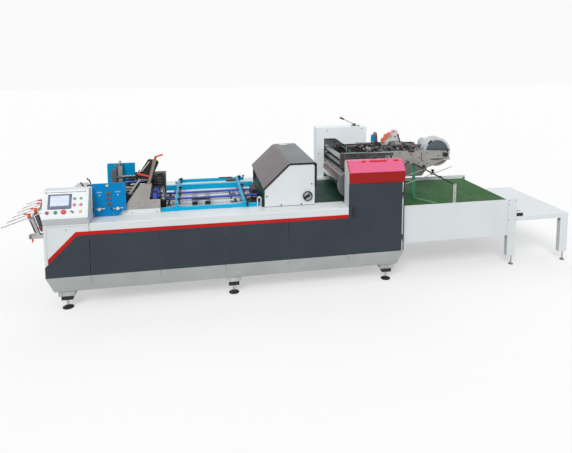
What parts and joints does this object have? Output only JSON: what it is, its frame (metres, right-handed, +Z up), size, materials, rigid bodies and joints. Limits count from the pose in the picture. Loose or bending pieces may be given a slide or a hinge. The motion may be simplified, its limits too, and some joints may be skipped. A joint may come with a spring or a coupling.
{
  "type": "window patching machine",
  "caption": "Sheet-fed window patching machine with control console, feeder, transfer table, hooded gluing unit, patching drum, film arm, delivery belt and table.",
  "frame": {"origin": "on the floor, under the middle of the machine's outline", "axes": "+X along the machine in the direction of the sheets, +Y from the operator's side to the back, +Z up"},
  "size_m": [6.157, 1.5878, 1.6206],
  "materials": {
    "white_paint": "satin powder coat",
    "pale_table_paint": "satin",
    "grey_paint": "satin powder coat",
    "anthracite_paint": "fine textured powder coat",
    "red_paint": "satin",
    "frame_paint": "satin, with dark foot blocks and bright screws",
    "hood_enamel": "metallic grey-brown",
    "blue_paint": "gloss",
    "light_blue_paint": "gloss",
    "navy_paint": "gloss",
    "machined_plate": "milled and lightly oiled",
    "bright_steel": "brushed",
    "polished_steel": "polished",
    "black_plastic": "moulded",
    "film_roll": "wound clear film with a grey flange",
    "green_belt": "smooth conveyor belting"
  },
  "bodies": {
    "root": {"front_housing": "white_paint", "back_housing": "white_paint", "front_kick_plate": "grey_paint", "back_kick_plate": "grey_paint", "bed_plate": "pale_table_paint", "left_end_panel": "white_paint", "right_end_panel": "white_paint", "front_panel_1": "anthracite_paint", "front_panel_2": "anthracite_paint", "front_panel_3": "anthracite_paint", "front_panel_4": "anthracite_paint", "front_panel_5": "anthracite_paint", "front_stripe": "red_paint", "back_panels": "anthracite_paint", "foot_beam_1": "frame_paint", "foot_beam_2": "frame_paint", "foot_beam_3": "frame_paint", "control_cabinet": "white_paint", "console_box": "white_paint", "touch_screen": "black_plastic", "console_controls": "black_plastic", "tall_cabinet": "white_paint", "near_side_frame": "machined_plate", "tall_cap": "red_paint", "hood_side_front": "white_paint", "hood_side_back": "white_paint", "hood_cover": "hood_enamel", "far_frame": "white_paint", "far_side_plate": "machined_plate", "arm_plate_near": "machined_plate", "arm_plate_far": "machined_plate", "arm_beam": "machined_plate", "delivery_plate_front": "white_paint", "delivery_plate_back": "white_paint", "delivery_belt": "green_belt", "delivery_bed": "bright_steel", "patch_belt": "green_belt", "patch_bed": "bright_steel", "delivery_legs": "white_paint", "stop_box": "black_plastic", "receiving_table": "white_paint", "feeder_plate_front": "blue_paint", "feeder_plate_back": "blue_paint", "guard_plate": "machined_plate", "guard_post": "bright_steel", "transfer_frame": "light_blue_paint", "guide_rods": "navy_paint", "feed_rack": "bright_steel", "feeder_cover": "black_plastic", "feed_wheels": "navy_paint", "film_guides": "machined_plate", "sheet_guide": "bright_steel"},
    "door": {"tall_door": "anthracite_paint", "door_handle": "bright_steel"},
    "drum": {"patch_drum": "polished_steel"},
    "reel": {"film_reel": "film_roll"},
    "lever": {"frame_lever": "black_plastic"},
    "wheel": {"hood_wheel": "black_plastic"},
    "roller_high": {"upper_roller": "polished_steel"},
    "roller_low": {"lower_roller": "polished_steel"}
  },
  "joints": [
    {"name": "door_hinge", "type": "hinge", "parent": "root", "child": "door", "pos_m": [0.9325, -0.7391, 0.7], "axis": [0, 0, 1], "range_deg": [0, 110]},
    {"name": "drum_spin", "type": "hinge", "parent": "root", "child": "drum", "pos_m": [0.4225, 0, 1.028], "axis": [0, 1, 0], "continuous": true},
    {"name": "reel_spin", "type": "hinge", "parent": "root", "child": "reel", "pos_m": [1.6095, 0, 1.272], "axis": [0, 1, 0], "continuous": true},
    {"name": "lever_pivot", "type": "hinge", "parent": "root", "child": "lever", "pos_m": [0.8175, 0.704, 1.5155], "axis": [0, 1, 0], "range_deg": [0, 100]},
    {"name": "wheel_spin", "type": "hinge", "parent": "root", "child": "wheel", "pos_m": [-0.0685, -0.556, 0.951], "axis": [0, 1, 0], "continuous": true},
    {"name": "upper_roller_spin", "type": "hinge", "parent": "root", "child": "roller_high", "pos_m": [0.4425, 0, 1.236], "axis": [0, 1, 0], "continuous": true},
    {"name": "lower_roller_spin", "type": "hinge", "parent": "root", "child": "roller_low", "pos_m": [0.4425, 0, 1.16], "axis": [0, 1, 0], "continuous": true}
  ]
}
